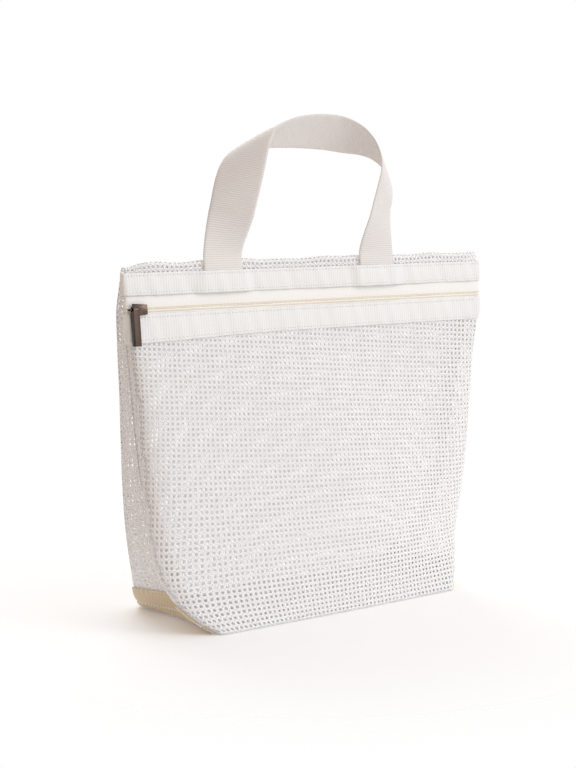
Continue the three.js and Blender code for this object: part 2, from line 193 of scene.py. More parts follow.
def new_material(name, **shader):
    """A material with constant shader values: the material, its tree, its shader and its coordinates."""
    material = bpy.data.materials.new(name)
    material.use_nodes = True
    tree = material.node_tree
    surface = tree.nodes["Principled BSDF"]
    for key, value in shader.items():
        surface.inputs[key.replace("_", " ")].default_value = value
    return material, tree, surface, node(tree, "ShaderNodeTexCoord")


def tint_and_bump(tree, surface, tint, low, high, bump, strength, depth_mm):
    """Links a colour between two hex values and a bump of a real depth to a shader."""
    ramp = node(tree, "ShaderNodeValToRGB", {}, {"Fac": tint})
    ramp.color_ramp.elements[0].color = linear(low)
    ramp.color_ramp.elements[1].color = linear(high)
    settings = {"Strength": strength, "Distance": depth_mm * 0.001}
    relief = node(tree, "ShaderNodeBump", settings, {"Height": bump})
    tree.links.new(ramp.outputs["Color"], surface.inputs["Base Color"])
    tree.links.new(relief.outputs["Normal"], surface.inputs["Normal"])


def make_object(name, points, faces, material):
    """A smooth mesh object from points in millimetres and arrays of faces, one array for each face size."""
    mesh = bpy.data.meshes.new(name)
    loops = np.concatenate([f.ravel() for f in faces]).astype(np.int32)
    sizes = np.concatenate([np.full(len(f), f.shape[1]) for f in faces])
    mesh.vertices.add(len(points))
    mesh.vertices.foreach_set("co", (points * 0.001).astype(np.float32).ravel())
    mesh.loops.add(len(loops))
    mesh.loops.foreach_set("vertex_index", loops)
    mesh.polygons.add(len(sizes))
    mesh.polygons.foreach_set("loop_start", np.r_[0, np.cumsum(sizes)[:-1]].astype(np.int32))
    mesh.update(calc_edges=True)
    mesh.validate()
    mesh.shade_smooth()
    mesh.materials.append(material)
    made = bpy.data.objects.new(name, mesh)
    bpy.context.scene.collection.objects.link(made)
    return made


# The net has round holes in straight rows, with a pin hole between each four, and strands under 1 mm thick.
# The coating is smooth soft PVC: near white with a dull gloss, and milky, so that light comes through it.
COLUMN_PITCH = 3.65
ROW_PITCH = 3.5
BACK_ROW_PITCH = 3.7
HOLE = 1.08 / ROW_PITCH
PIN = 0.4 / ROW_PITCH
NET_THICKNESS = 0.85

net, net_tree, net_surface, net_coords = new_material(
    "net_coated_pvc", Roughness=0.5, Specular_IOR_Level=0.35, Subsurface_Weight=1.0, Subsurface_Scale=0.002,
    Subsurface_Radius=(1.0, 0.95, 0.95))
net_place = {"Vector": (net_coords, "Object")}
net_grain = node(net_tree, "ShaderNodeTexNoise", {"Scale": grain_scale(1.11), "Detail": 3.0}, net_place)
net_patch = node(net_tree, "ShaderNodeTexNoise", {"Scale": grain_scale(45.5), "Detail": 2.0}, net_place)
tint_and_bump(net_tree, net_surface, (net_patch, "Fac"), "f5f4f7", "fbfafc", (net_grain, "Fac"), 0.25, 0.2)


def sample(grid, across, along):
    """Points of a grid at fractions of its columns and rows, by linear steps."""
    rows, columns = grid.shape[:2]
    c = np.clip(across, 0, 1) * (columns - 1)
    r = np.clip(along, 0, 1) * (rows - 1)
    c0 = np.minimum(c.astype(int), columns - 2)
    r0 = np.minimum(r.astype(int), rows - 2)
    fc, fr = (c - c0)[:, None], (r - r0)[:, None]
    low = grid[r0, c0] * (1 - fc) + grid[r0, c0 + 1] * fc
    high = grid[r0 + 1, c0] * (1 - fc) + grid[r0 + 1, c0 + 1] * fc
    return low * (1 - fr) + high * fr


def even_rows(grid, count):
    """The same surface with its rows evenly spaced along it, and its length."""
    run = np.r_[0, np.cumsum(np.linalg.norm(np.diff(grid, axis=0), axis=2).mean(1))]
    at = np.linspace(0, run[-1], count)
    flat = grid.reshape(len(grid), -1)
    return points_at(at, run, flat).reshape(count, grid.shape[1], 3), run[-1]


def net_piece(name, parts):
    """Net over parts of surfaces: for each its grid, the side it faces, its cells and how they lie."""
    all_points = []
    all_faces = {3: [], 4: [], 5: []}
    all_seams = []
    start = 0
    turn = np.arange(8) * math.pi / 4
    for grid, outside, cells, lay in parts:
        # Each cell is an eight-sided hole, and each knot between four cells is a four-sided pin hole.
        rows, columns = cells.shape
        j, i = np.nonzero(cells)
        knot_i, knot_j = np.meshgrid(np.arange(columns + 1), np.arange(rows + 1))
        pin = np.array([[1, 0], [0, 1], [-1, 0], [0, -1]]) * PIN
        knots = np.stack([knot_i.ravel(), knot_j.ravel()], 1)[:, None] + pin
        rim = HOLE * np.stack([np.cos(turn), np.sin(turn)], 1)
        holes = np.stack([i + 0.5, j + 0.5], 1)[:, None] + rim
        at = np.concatenate([knots.reshape(-1, 2), holes.reshape(-1, 2)]) / (columns, rows)
        k00 = (j * (columns + 1) + i) * 4
        k10, k01, k11 = k00 + 4, k00 + 4 * (columns + 1), k00 + 4 * (columns + 2)
        h = len(knots) * 4 + np.arange(len(i)) * 8
        strands = [
            (k00, k10 + 2, h + 7, h + 6, h + 5),
            (k10 + 1, k11 + 3, h + 1, h, h + 7),
            (k11 + 2, k01, h + 3, h + 2, h + 1),
            (k01 + 3, k00 + 1, h + 5, h + 4, h + 3),
        ]
        corners = [
            (k00, h + 5, k00 + 1),
            (k10 + 1, h + 7, k10 + 2),
            (k11 + 2, h + 1, k11 + 3),
            (k01 + 3, h + 3, k01),
        ]
        five = np.concatenate([np.stack(f, 1) for f in strands])
        three = np.concatenate([np.stack(f, 1) for f in corners])
        used, back = np.unique(np.r_[five.ravel(), three.ravel()], return_inverse=True)
        five, three = back[:five.size].reshape(-1, 5), back[five.size:].reshape(-1, 3)
        if outside < 0:
            five, three = five[:, ::-1], three[:, ::-1]
        # Both faces of the cloth stand off its middle, and walls close the edges of its holes.
        across, along = at[used, 0], lay(at[used, 0], at[used, 1])
        middle = sample(grid, across, along)
        lift = sample(normals(grid), across, along) * (outside * NET_THICKNESS / 2)
        count = len(used)
        edges = np.concatenate([np.stack([f, np.roll(f, -1, 1)], 2).reshape(-1, 2) for f in (five, three)])
        forward = edges[:, 0] * count + edges[:, 1]
        border = edges[~np.isin(edges[:, 1] * count + edges[:, 0], forward)]
        walls = np.stack([border[:, 1], border[:, 0], border[:, 0] + count, border[:, 1] + count], 1)
        ends = used[border]
        seam = border[(ends.max(1) < len(knots) * 4) & (ends[:, 0] // 4 != ends[:, 1] // 4)]
        all_points += [middle + lift, middle - lift]
        all_faces[5] += [five + start, five[:, ::-1] + count + start]
        all_faces[3] += [three + start, three[:, ::-1] + count + start]
        all_faces[4].append(walls + start)
        all_seams += [seam + start, seam + count + start]
        start += 2 * count
    faces = [np.concatenate(all_faces[size]) for size in (3, 4, 5)]
    made = make_object(name, np.concatenate(all_points), faces, net)
    # Where the piece goes on into another, its edge isn't rounded.
    pairs = np.empty((len(made.data.edges), 2), np.int32)
    made.data.edges.foreach_get("vertices", pairs.ravel())
    keys = [np.sort(v, 1) @ (start, 1) for v in (pairs, np.concatenate(all_seams))]
    made.data.edges.foreach_set("use_edge_sharp", np.isin(*keys))
    return made


def wall_grid(facing, foot, head):
    """The front or back half of the wall between two heights, with the slack cloth's soft waves."""
    levels = foot + (head - foot) * np.linspace(0, 1, 150) ** 1.3
    grid = np.stack([section(z, facing) for z in levels])
    x, z = grid[..., 0], grid[..., 2]
    along = np.linspace(0, 1, SAMPLES)[None, :]
    free = smooth_step(z, 4, 40) * (1 - smooth_step(z, 150, 190))
    free = free * smooth_step(along, 0.02, 0.12) * (1 - smooth_step(along, 0.88, 0.98))
    wave = np.sin(x / 26 + z / 60 + facing) + np.sin(x / 44 - z / 33 + 2) + 0.4 * np.sin(z / 19 + x / 50)
    grid = grid - normals(grid) * (facing * free * wave)[..., None]
    return even_rows(grid, 240)


WALL_FOOT = 0.9
front_grid, front_run = wall_grid(-1, WALL_FOOT, FOLD)
back_grid, back_run = wall_grid(1, WALL_FOOT, FOLD)
girth = lengths_along(front_grid[len(front_grid) // 2])[-1]
net_columns = int(round(girth / COLUMN_PITCH))

# The cloth hangs a little out of square: its rows are level at the base, and higher up they slope down
# towards the right in front and towards the left behind.
FRONT_SLOPE = 0.11
BACK_SLOPE = -0.07
TALL = 1.07


def lay_front(across, along):
    return along * TALL + FRONT_SLOPE * (0.5 - across) * smooth_step(along, 0.0, 0.45)


def lay_back(across, along):
    return along * TALL + BACK_SLOPE * (0.5 - across) * smooth_step(along, 0.0, 0.45)


def lay_straight(across, along):
    return along


def wall_cells(grid, run, pitch, lay):
    """Which cells of a wall lie on its left side, its face and its right side, with their heights."""
    rows = int(round(run / pitch * TALL))
    i, j = np.meshgrid((np.arange(net_columns) + 0.5) / net_columns, (np.arange(rows) + 0.5) / rows)
    along = lay(i, j)
    z = sample(grid, i.ravel(), along.ravel())[:, 2].reshape(rows, net_columns)
    corner = depth_at(z) / (2 * depth_at(z) + 2 * width_at(z))
    inside = along < 1 - 0.5 * pitch / run
    return inside & (i < corner), inside & (i >= corner) & (i <= 1 - corner), inside & (i > 1 - corner), z


front_left, front_face, front_right, front_z = wall_cells(front_grid, front_run, ROW_PITCH, lay_front)
back_left, back_face, back_right, _ = wall_cells(back_grid, back_run, BACK_ROW_PITCH, lay_back)

# Front panel: the net from the base's front edge up to the lower ribbon, which is sewn over its upper edge.
# It is one cloth with the base, and goes round the corners into the side walls.
NET_LAP = 1.0
below_zip = front_z < LOWER_TOP - NET_LAP
net_front = net_piece("net_front", [(front_grid, 1, front_face & below_zip, lay_front)])
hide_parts("mesh_front_panel")

# Back panel: the net from the base's back edge up to the fold along the top. It has no seam across it, and
# the top band laps its upper edge.
net_back = net_piece("net_back", [(back_grid, -1, back_face, lay_back)])
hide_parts("mesh_back_panel")

# Side walls: the outer edges of the front and back cloth, tucked inwards where they meet at the seam. In
# front they stop at the ribbons, where the zip goes round the corner.
beside_zip = (front_z > LOWER_TOP - NET_LAP) & (front_z < UPPER_FOOT + NET_LAP)


def side_wall(name, front_cells, back_cells):
    """One side wall, of an edge of the front cloth and an edge of the back cloth."""
    front_part = (front_grid, 1, front_cells & ~beside_zip, lay_front)
    return net_piece(name, [front_part, (back_grid, -1, back_cells, lay_back)])


net_side_left = side_wall("net_side_left", front_left, back_left)
net_side_right = side_wall("net_side_right", front_right, back_right)
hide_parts("mesh_side_left")
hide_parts("mesh_side_right")

# Base panel: the same cloth under the bag, flat on the floor. It goes on into the front and back, and the
# boxed corners close its two ends.
corner = depth_at(WALL_FOOT) / (2 * depth_at(WALL_FOOT) + 2 * width_at(WALL_FOOT))
edge = np.linspace(corner, 1 - corner, 121)
front_edge = sample(front_grid, edge, 0 * edge)
back_edge = sample(back_grid, edge, 0 * edge)
share = np.linspace(0, 1, 61)[:, None, None]
base_grid = front_edge * (1 - share) + back_edge * share
ripple = 0.25 * np.sin(math.pi * share[..., 0]) * (1 + np.sin(base_grid[..., 0] / 17))
base_grid[..., 2] = NET_THICKNESS / 2 + ripple


def all_cells(depth, width):
    """Every cell of a plain piece of net of a size."""
    return np.ones((int(round(depth / ROW_PITCH)), int(round(width / COLUMN_PITCH))), bool)


base_cells = all_cells(BASE_DEPTH, BASE_WIDTH)
net_base = net_piece("net_base", [(base_grid, -1, base_cells, lay_straight)])
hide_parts("mesh_base_panel")

# Top band: a strip of the same cloth over the top edge. It laps the back panel, and goes down the front
# behind the upper ribbon. Its left end sinks in and its right end stands up in a small ear.
CREST = 1.2
FRONT_LAP = 14.5
BACK_LAP = 6.0
TURN_RISE = 1.5
SUNK_END = 22.0
EAR = 12.0
front_part = np.linspace(FRONT_LAP, 0.5, 15)
turn_part = np.linspace(0, math.pi, 25)
lap_part = np.linspace(0.5, BACK_LAP, 6)
angle = np.concatenate([0 * front_part, turn_part, 0 * lap_part + math.pi])
down = np.concatenate([front_part, 0 * turn_part, lap_part])
lap = np.concatenate([0 * front_part, 0 * turn_part, smooth_step(lap_part, 0, 3)])[:, None]
across = np.linspace(-1, 1, 241)
left_end = smooth_step(-across, 1 - SUNK_END / (TOP_WIDTH / 2), 1)
right_end = smooth_step(across, 1 - EAR / (TOP_WIDTH / 2), 1)
straight = FOLD + TURN_RISE - down[:, None]
level = straight - left_end * 1.5 * smooth_step(straight, FOLD - 6, FOLD + TURN_RISE)
crown = (HEIGHT + CREST - FOLD - TURN_RISE) * np.sin(angle)[:, None] * (1 - 0.5 * left_end)
sway = 0.5 * np.sin(across * 11) + 0.3 * np.sin(across * 29)
top_z = level + crown + (0.8 * right_end + sway) * smooth_step(level + crown, FOLD - 1, HEIGHT)
drawn_in = 1 - 0.4 * left_end - 0.3 * right_end
top_y = -depth_at(np.minimum(straight, FOLD)) / 2 * np.cos(angle)[:, None] * drawn_in + 0.9 * lap
top_x = lean_at(straight) + across * (width_at(straight) / 2 - 4.0 * left_end)
top_grid, top_run = even_rows(np.stack([top_x, top_y, top_z], 2), 80)
top_cells = all_cells(top_run, TOP_WIDTH)
net_top = net_piece("net_top_band", [(top_grid, 1, top_cells, lay_straight)])
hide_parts("mesh_top_band")

for piece in (net_front, net_back, net_side_left, net_side_right, net_base, net_top):
    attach(piece, "bag")

# Zip: a cream woven tape on each side of the chain, with its edge folded over into a smooth flat bead. The
# closed chain shows as two beads side by side with fine piping sewn along each, and all go round the corners
# to the side seams.
CHAIN_HALF = 1.2
BEAD_HALF = 1.12
BEAD_DEPTH = 0.8
PIPING_RADIUS = 0.38
PIPING_SUNK = 0.1
TAPE_THICKNESS = 0.5
ZIP_ENDS = (0.003, 0.997)
STEP_DOWN = 5.0


def band_scale(period_mm):
    """The wave texture's scale that repeats once in a length, on coordinates in metres."""
    return 2 * math.pi / (20 * period_mm * 0.001)


def ribbed_cloth(name, low, high, rib_mm, lay, uneven, roughness, relief, relief_mm):
    """The material of a tape or yarn, woven or twisted, with ribs a real distance apart."""
    material, tree, surface, coords = new_material(name, Roughness=roughness, Sheen_Weight=0.2)
    wave = {"bands_direction": lay, "Scale": band_scale(rib_mm), "Distortion": uneven}
    ribs = node(tree, "ShaderNodeTexWave", wave, {"Vector": (coords, "Object")})
    tint_and_bump(tree, surface, (ribs, "Fac"), low, high, (ribs, "Fac"), relief, relief_mm)
    return material


# Woven polyester tape: cream white and matt, with a fine rib across it.
zip_cloth = ribbed_cloth("zip_tape_woven", "f3f2f0", "fbfaf8", rib_mm=1.2, lay="X", uneven=1.0,
                         roughness=0.75, relief=0.4, relief_mm=0.2)
# The bead is the same yarn packed tight: a warmer cream with a soft shine.
bead = ribbed_cloth("zip_bead_yarn", "f5efe2", "faf6ec", rib_mm=1.0, lay="X", uneven=0.5,
                    roughness=0.5, relief=0.3, relief_mm=0.15)
# The piping is twisted cotton: straw-coloured and matt, with a slanting lay.
piping = ribbed_cloth("zip_piping_cotton", "e2dcce", "eae5da", rib_mm=1.0, lay="DIAGONAL", uneven=0.5,
                      roughness=0.7, relief=0.3, relief_mm=0.15)


def swept(name, sections, material):
    """A solid through a row of closed sections with the same number of points."""
    points = np.asarray(sections)
    count, ring = points.shape[:2]
    c, r = np.meshgrid(np.arange(count - 1), np.arange(ring), indexing="ij")
    a, b = c * ring + r, c * ring + (r + 1) % ring
    quads = np.stack([a.ravel(), (a + ring).ravel(), (b + ring).ravel(), b.ravel()], 1)
    caps = np.stack([np.arange(ring), np.arange(ring)[::-1] + (count - 1) * ring])
    return make_object(name, points.reshape(-1, 3), [quads, caps], material)


def unit(vectors):
    """Vectors of length 1 in the same directions."""
    return vectors / np.linalg.norm(vectors, axis=1, keepdims=True)


def front_line(z, along, drop=None, share=0):
    """Points at fractions of the front's length at a height, let down by a share of a drop, and normals."""
    line, below = section(z, -1), section(z - STEP_DOWN, -1)
    ahead = unit(np.gradient(line[:, :2], axis=0))
    out = np.stack([ahead[:, 1], -ahead[:, 0], np.zeros(SAMPLES)], 1)
    at = along * (SAMPLES - 1)
    line, below, out = [points_at(at, np.arange(SAMPLES), v) for v in (line, below, out)]
    if drop:
        line = line + (below - line) * (share * drop(line[:, 0]) / STEP_DOWN)[:, None]
    return line, out


def along_front(name, profile, material, lift=None, drop=None, ends=(0.0, 1.0), count=640):
    """A band along the front. Its profile is heights, distances off the net and shares of the drop."""
    loops = []
    for z, off, share in profile:
        line, out = front_line(z, np.linspace(*ends, count), drop, share)
        stand = off + (lift(line[:, 0], z) if lift else np.zeros(count))
        loops.append(line + out * stand[:, None])
    return swept(name, np.stack(loops, 1), material)


def zip_half(name, up, seen, reach):
    """One tape, let in behind the ribbon beyond its seen part, its bead and the piping along the bead."""
    heights = [CHAIN + up * z for z in (1.8, 2.1, 2.6, seen, seen + 2.2, reach)]
    face = list(zip(heights, (0.3, 0.5, 0.55, 0.4, -0.55, -0.75), np.zeros(6)))
    profile = face + [(z, off - TAPE_THICKNESS, 0) for z, off, _ in face[::-1]]
    tape = along_front(name + "_tape", profile[::-up], zip_cloth, ends=ZIP_ENDS)
    angles = np.linspace(0, 2 * math.pi, 15)[:-1]
    middle = CHAIN + up * CHAIN_HALF
    crest = BEAD_DEPTH - PIPING_SUNK
    ring = [(middle + BEAD_HALF * math.sin(t), BEAD_DEPTH * math.cos(t), 0) for t in angles]
    strand = [(middle + PIPING_RADIUS * math.sin(t), crest + PIPING_RADIUS * math.cos(t), 0) for t in angles]
    folded = along_front(name + "_bead", ring, bead, ends=ZIP_ENDS)
    return tape, folded, along_front(name + "_piping", strand, piping, ends=ZIP_ENDS)


upper_tape, upper_bead, upper_piping = zip_half("zip_upper", 1, 8.6, 15.2)
lower_tape, lower_bead, lower_piping = zip_half("zip_lower", -1, 3.0, 12.4)
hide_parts("zip_tape_upper")
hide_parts("zip_tape_lower")
for piece in (upper_tape, upper_bead, upper_piping, lower_tape, lower_bead, lower_piping):
    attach(piece, "bag")

# Zip coils: a filament wound in a row of turns on the inside of each bead, where it is sewn to the tape.
# Drawn nylon: cream, smooth and a little glossy.
nylon, nylon_tree, nylon_surface, nylon_coords = new_material("zip_coil_nylon", Roughness=0.35)
nylon_place = {"Vector": (nylon_coords, "Object")}
nylon_grain = (node(nylon_tree, "ShaderNodeTexNoise", {"Scale": grain_scale(0.67)}, nylon_place), "Fac")
tint_and_bump(nylon_tree, nylon_surface, nylon_grain, "e6ddc3", "f0e9d4", nylon_grain, 0.2, 0.1)
SLOPE = math.atan2((depth_at(LOWER_FOOT) - depth_at(FOLD)) / 2, FOLD - LOWER_FOOT)
ZIP_MIDDLE = np.array([lean_at(CHAIN), -depth_at(CHAIN) / 2, CHAIN])
SLOPE_UP = np.array([0, math.sin(SLOPE), math.cos(SLOPE)])
SLOPE_IN = np.array([0, math.cos(SLOPE), -math.sin(SLOPE)])
COIL_LENGTH = 298.0
COIL_PITCH = 1.3
COIL_RISE = 1.4
COIL_BEHIND = 2.35
COIL_HALF = (0.75, 0.5)
FILAMENT = 0.26


def coil(name, up):
    """One row of turns, above (1) or below (-1) the middle of the chain."""
    turns, steps, sides = COIL_LENGTH / COIL_PITCH, 9, 5
    t = np.arange(0, turns, 1 / steps)
    x = (t / turns - 0.5) * COIL_LENGTH
    rise = up * COIL_RISE + COIL_HALF[0] * np.cos(2 * math.pi * t)
    deep = COIL_BEHIND + COIL_HALF[1] * np.sin(2 * math.pi * t)
    path = ZIP_MIDDLE + np.stack([x, 0 * x, 0 * x], 1) + rise[:, None] * SLOPE_UP + deep[:, None] * SLOPE_IN
    ahead = unit(np.gradient(path, axis=0))
    first = unit(np.cross(ahead, (1.0, 0, 0)))
    second = np.cross(ahead, first)
    angle = np.arange(sides)[::-1] * 2 * math.pi / sides
    ring = np.cos(angle)[:, None] * first[:, None] + np.sin(angle)[:, None] * second[:, None]
    return swept(name, path[:, None] + ring * FILAMENT, nylon)


upper_coil = coil("zip_upper_coil", 1)
lower_coil = coil("zip_lower_coil", -1)
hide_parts("zip_coil_upper")
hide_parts("zip_coil_lower")
for piece in (upper_coil, lower_coil):
    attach(piece, "bag")

# Slider and pull tab: zinc castings, plated and tumbled, so their edges are round. The tab is a square bar
# that hangs from the slider's bail. Black nickel plating: dark brown-grey, glossy and faintly mottled. The
# faces that look forward are painted paler, as painted light from the lamps in front, and the faces turned
# aside darker, as painted shade.
metal, metal_tree, metal_surface, metal_coords = new_material(
    "black_nickel_plate", Metallic=1.0, Roughness=0.22)
metal_noise = {"Scale": grain_scale(2.86), "Detail": 4.0}
mottle = (node(metal_tree, "ShaderNodeTexNoise", metal_noise, {"Vector": (metal_coords, "Object")}), "Fac")
# Painted light and shade: how far each face turns to the front sets how pale it is. This is mixed with the
# plating's real mottle.
toward_lamps_dot = {"operation": "DOT_PRODUCT", 1: (0.3, -0.95, 0.1)}
painted_lit_face = node(metal_tree, "ShaderNodeVectorMath", toward_lamps_dot, {0: (metal_coords, "Normal")})
metal_speck = node(metal_tree, "ShaderNodeMath", {"operation": "MULTIPLY", 1: 0.3}, {0: mottle})
lit_and_mottle_blend = {"operation": "MULTIPLY_ADD", 1: 0.8}
painted_light_and_mottle = node(metal_tree, "ShaderNodeMath", lit_and_mottle_blend, {0: (painted_lit_face, "Value"), 2: (metal_speck, "Value")})
tint_and_bump(metal_tree, metal_surface, (painted_light_and_mottle, "Value"), "261d18", "615149", mottle, 0.12, 0.1)


def casting(name, source, round_edge):
    """A copy of a CAD node with its flat faces joined up and its edges rounded."""
    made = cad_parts[source].copy()
    made.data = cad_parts[source].data.copy()
    made.name = name
    made.parent = None
    bpy.context.scene.collection.objects.link(made)
    made.data.materials.clear()
    made.data.materials.append(metal)
    made.data.shade_smooth()
    weld = made.modifiers.new("weld", "WELD")
    weld.merge_threshold = 1e-6
    flat = made.modifiers.new("flat", "DECIMATE")
    flat.decimate_type = "DISSOLVE"
    flat.angle_limit = math.radians(2)
    edge = made.modifiers.new("edge", "BEVEL")
    edge.width = round_edge * 0.001
    edge.segments = 3
    edge.limit_method = "ANGLE"
    edge.angle_limit = math.radians(40)
    edge.harden_normals = True
    return made


slider = casting("slider", "zip_slider", 0.3)
pull = casting("pull_tab", "zip_pull_tab", 0.55)
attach(slider, "slider")
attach(pull, "pull")
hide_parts("zip_slider")
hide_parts("zip_pull_tab")

# Handle: one length of soft webbing 31 mm wide. Its two ends are sewn down behind the upper ribbon, and
# between them it rises in front, turns over an oblique bend on each side and runs flat across the top.
STRAP_HALF = 15.5
STRAP_THICKNESS = 1.4
HANDLE_SHIFT = -2.6
LEG_HALF_SPACING = 67.0
ARCH_TILT = math.radians(44.5)
ARCH_HALF = 29.3
ARCH_FORWARD = 12.5
ARCH_RISE = 86.8
BEND_AXIS = math.radians(47.3)
BEND_ANGLE = math.radians(148.0)
BEND_RADIUS = 17.7
HINGE_RISE = 7.5
HINGE_FORWARD = 1.5
SEWN = 20.4
STRAP_COLUMNS = 25

# Woven polypropylene webbing: warm grey-white with a soft sheen and fine ribs across it, drawn here 1.5 mm
# apart so that they show.
webbing, web_tree, web_surface, _ = new_material("webbing_woven", Roughness=0.6, Sheen_Weight=0.3)
web_uv = node(web_tree, "ShaderNodeUVMap", {"uv_map": "length"})
web_rib_wave = {"bands_direction": "X", "Scale": band_scale(1.5), "Distortion": 0.5, "Detail": 1.0}
web_end_wave = {"bands_direction": "Y", "Scale": band_scale(1.4), "Distortion": 0.8}
web_ribs = node(web_tree, "ShaderNodeTexWave", web_rib_wave, {"Vector": (web_uv, "UV")})
web_ends = node(web_tree, "ShaderNodeTexWave", web_end_wave, {"Vector": (web_uv, "UV")})
faint = {"operation": "MULTIPLY_ADD", 1: 0.3}
web_both = {0: (web_ends, "Fac"), 2: (web_ribs, "Fac")}
web_weave = (node(web_tree, "ShaderNodeMath", faint, web_both), "Value")
tint_and_bump(web_tree, web_surface, web_weave, "dad6d3", "eae7e5", web_weave, 0.3, 0.2)

hinge = ZIP_MIDDLE + SLOPE_UP * ((FOLD - CHAIN) / math.cos(SLOPE) + HINGE_RISE) - SLOPE_IN * HINGE_FORWARD
arch_out = np.array([-1.0, 0, 0])
arch_across = np.array([0, -math.sin(ARCH_TILT), math.cos(ARCH_TILT)])
arch_inside = np.array([0, -math.cos(ARCH_TILT), -math.sin(ARCH_TILT)])
bend_line = -arch_out * math.cos(BEND_AXIS) + arch_across * math.sin(BEND_AXIS)
bend_out = arch_out * math.sin(BEND_AXIS) + arch_across * math.cos(BEND_AXIS)
bend_start = np.array([0, -ARCH_FORWARD, HEIGHT + ARCH_RISE]) + arch_out * ARCH_HALF
leg_start = ARCH_HALF + BEND_RADIUS * BEND_ANGLE / math.sin(BEND_AXIS) + STRAP_HALF / math.tan(BEND_AXIS)


def bend_points(along, t):
    """Points of the flat arch and of the oblique bend at its left, by place along and across it."""
    past = along - ARCH_HALF
    lineward = t * math.sin(BEND_AXIS) - past * math.cos(BEND_AXIS)
    outward = t * math.cos(BEND_AXIS) + past * math.sin(BEND_AXIS)
    angle = np.clip(outward / BEND_RADIUS, 0, BEND_ANGLE)
    rest = outward - angle * BEND_RADIUS
    flat = BEND_RADIUS * np.sin(angle) + rest * np.cos(angle)
    inside = BEND_RADIUS * (1 - np.cos(angle)) + rest * np.sin(angle)
    points = bend_start + lineward[..., None] * bend_line + flat[..., None] * bend_out
    return points + inside[..., None] * arch_inside


strap_t = np.linspace(-STRAP_HALF, STRAP_HALF, STRAP_COLUMNS)
bend_s, bend_t = np.meshgrid(np.linspace(0, leg_start, 110), strap_t, indexing="ij")
upper = bend_points(bend_s, bend_t)
leg_top, leg_next = bend_points(np.array([leg_start, leg_start + 1.0]), np.zeros(2))
foot_centre = np.array([-LEG_HALF_SPACING, hinge[1], hinge[2]])
reach = np.linalg.norm(leg_top - foot_centre) / 5
foot = foot_centre + strap_t[:, None] * np.array([1.0, 0, 0])
k = np.linspace(0, 1, 30)[1:, None, None]
leg = (1 - k) ** 3 * upper[-1] + 3 * (1 - k) ** 2 * k * (upper[-1] + (leg_next - leg_top) * reach)
leg = leg + 3 * (1 - k) * k ** 2 * (foot + SLOPE_UP * reach) + k ** 3 * foot
sewn = foot - np.linspace(0, SEWN, 14)[1:, None, None] * SLOPE_UP
left_half = np.concatenate([upper, leg, sewn])
strap_middle = np.concatenate([left_half[::-1], left_half[1:] * (-1, 1, 1)]) + (HANDLE_SHIFT, 0, 0)
# The arch is pulled a little out of true: its upper edge dips at the left and is crowned in the middle, and
# its lower edge sags at the right.
strap_x = strap_middle[..., 0]
upper_edge = 0.5 + strap_t / (2 * STRAP_HALF)
crown = 1.2 * np.exp(-((strap_x - 4) / 16) ** 2) - 2.4 * np.exp(-((strap_x + 31) / 14) ** 2)
sag = 2.4 * np.exp(-((strap_x - 44) / 18) ** 2) - 0.9 * np.exp(-((strap_x + 10) / 26) ** 2)
pulled = crown * upper_edge - sag * (1 - upper_edge)
strap_middle[..., 2] += pulled * smooth_step(strap_middle[..., 2], 275, 310)
# The webbing has a thickness with round edges, and coordinates along and across it for its weave.
rounded = np.sqrt(np.clip(1 - (np.abs(strap_t) / STRAP_HALF) ** 16, 0.06, 1))
half_thick = normals(strap_middle) * (STRAP_THICKNESS / 2 * rounded[None, :, None])
strap_sections = np.concatenate([strap_middle - half_thick, (strap_middle + half_thick)[:, ::-1]], 1)
strap = swept("handle", strap_sections, webbing)
strap_run = lengths_along(strap_middle[:, STRAP_COLUMNS // 2]) * 0.001
corners = np.empty(len(strap.data.loops), np.int32)
strap.data.loops.foreach_get("vertex_index", corners)
strap_across = np.r_[strap_t, strap_t[::-1]] * 0.001
strap_ring = len(strap_across)
strap_uv = np.stack([strap_run[corners // strap_ring], strap_across[corners % strap_ring]], 1)
strap.data.uv_layers.new(name="length").data.foreach_set("uv", strap_uv.astype(np.float32).ravel())
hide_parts("handle_strap", "handle_end_left", "handle_end_right")
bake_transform(strap)

# Ribbons: ivory grosgrain tape 15 mm wide, sewn to the net along both edges. They lie on the front and turn
# round its corners to the side seams. The upper one also holds down the handle's ends.
LEG_CENTRES = (-LEG_HALF_SPACING + HANDLE_SHIFT, LEG_HALF_SPACING + HANDLE_SHIFT)
UPPER_TOP = FOLD - 0.7
RIBBON_OFF = 0.75
RIBBON_THICKNESS = 0.8
GROOVE = 0.25
FRONT_RUN = 324.0
STITCH_IN = 1.8
STITCH_OFF = RIBBON_OFF + RIBBON_THICKNESS - 0.2
STITCH_END = 4.0
STITCH_PITCH = 2.9
STITCH_SIZE = (2.3, 0.9, 0.4)

# Grosgrain: ivory white and matt with fine ribs across it, drawn here 2 mm apart so that they show.
ribbon, ribbon_tree, ribbon_surface, ribbon_coords = new_material(
    "ribbon_grosgrain", Roughness=0.75, Sheen_Weight=0.2)
rib_wave = {"bands_direction": "X", "Scale": band_scale(2.0), "Distortion": 0.8, "Detail": 1.0}
pick_wave = {"bands_direction": "Z", "Scale": band_scale(0.8), "Distortion": 0.5}
ribs = node(ribbon_tree, "ShaderNodeTexWave", rib_wave, {"Vector": (ribbon_coords, "Object")})
picks = node(ribbon_tree, "ShaderNodeTexWave", pick_wave, {"Vector": (ribbon_coords, "Object")})
add = {"operation": "MULTIPLY_ADD", 1: 0.6}
weave = (node(ribbon_tree, "ShaderNodeMath", add, {0: (picks, "Fac"), 2: (ribs, "Fac")}), "Value")
tint_and_bump(ribbon_tree, ribbon_surface, weave, "e9eaea", "f2f3f2", weave, 0.4, 0.2)
